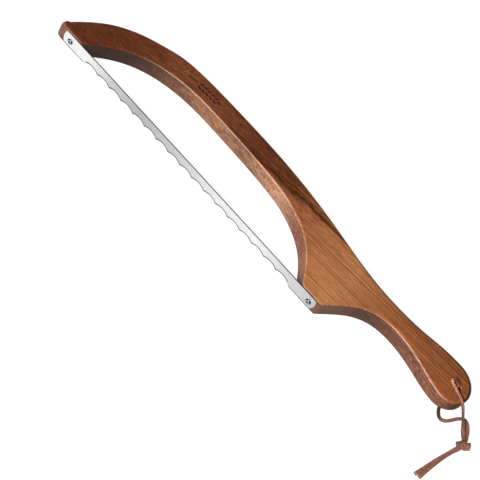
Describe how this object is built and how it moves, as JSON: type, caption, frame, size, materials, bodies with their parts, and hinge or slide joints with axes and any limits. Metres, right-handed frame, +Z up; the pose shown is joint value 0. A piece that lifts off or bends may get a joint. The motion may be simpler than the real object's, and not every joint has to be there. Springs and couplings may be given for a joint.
{
  "type": "fiddle-bow bread knife",
  "caption": "Wooden bow saw style bread knife with a scalloped steel blade screwed across its feet, a curved handle and a knotted leather lanyard.",
  "frame": {"origin": "middle of the knife's outline on the table it lies on, level with the bow's back face", "axes": "+X from the tip towards the handle along the blade, +Y from the blade towards the arch, +Z up out of the board, from its back face to its front face"},
  "size_m": [0.4198, 0.0934, 0.0192],
  "materials": {
    "bow_wood": "satin oiled hardwood",
    "blade_steel": "fine cross-ground stainless steel",
    "screw_steel": "bright steel",
    "lace_leather": "suede"
  },
  "bodies": {
    "root": {"wooden_bow": "bow_wood", "serrated_blade": "blade_steel", "tip_screw": "screw_steel", "heel_screw": "screw_steel", "lace_over": "lace_leather", "lace_under": "lace_leather", "lace_knot": "lace_leather", "lace_long_tail": "lace_leather", "lace_short_tail": "lace_leather"}
  },
  "joints": []
}
